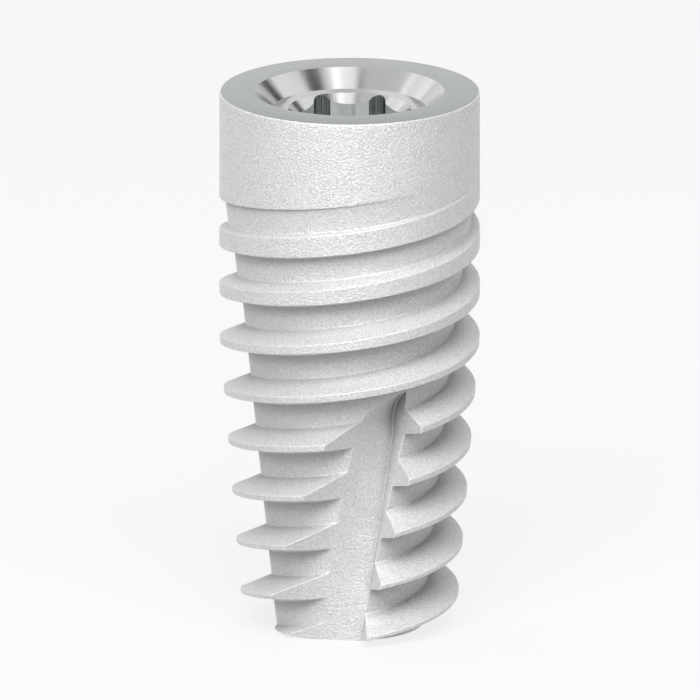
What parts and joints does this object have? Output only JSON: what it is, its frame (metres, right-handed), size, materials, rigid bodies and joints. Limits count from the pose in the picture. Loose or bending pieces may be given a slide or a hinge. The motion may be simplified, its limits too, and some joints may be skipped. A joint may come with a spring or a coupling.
{
  "type": "dental implant",
  "caption": "Tapered threaded dental implant with a straight collar, cutting flutes and a hexagonal socket in its flat top.",
  "frame": {"origin": "centre of the flat lower end, on the implant's axis", "axes": "+Z along the axis from the flat lower end to the platform on top; -Y faces the front, where one flute and one flat of the hexagon lie"},
  "size_m": [0.006, 0.006, 0.0126],
  "materials": {
    "titanium": "blasted matt titanium outside, machined ring on top, polished bevels and socket"
  },
  "bodies": {
    "root": {"implant_body": "titanium"}
  },
  "joints": []
}
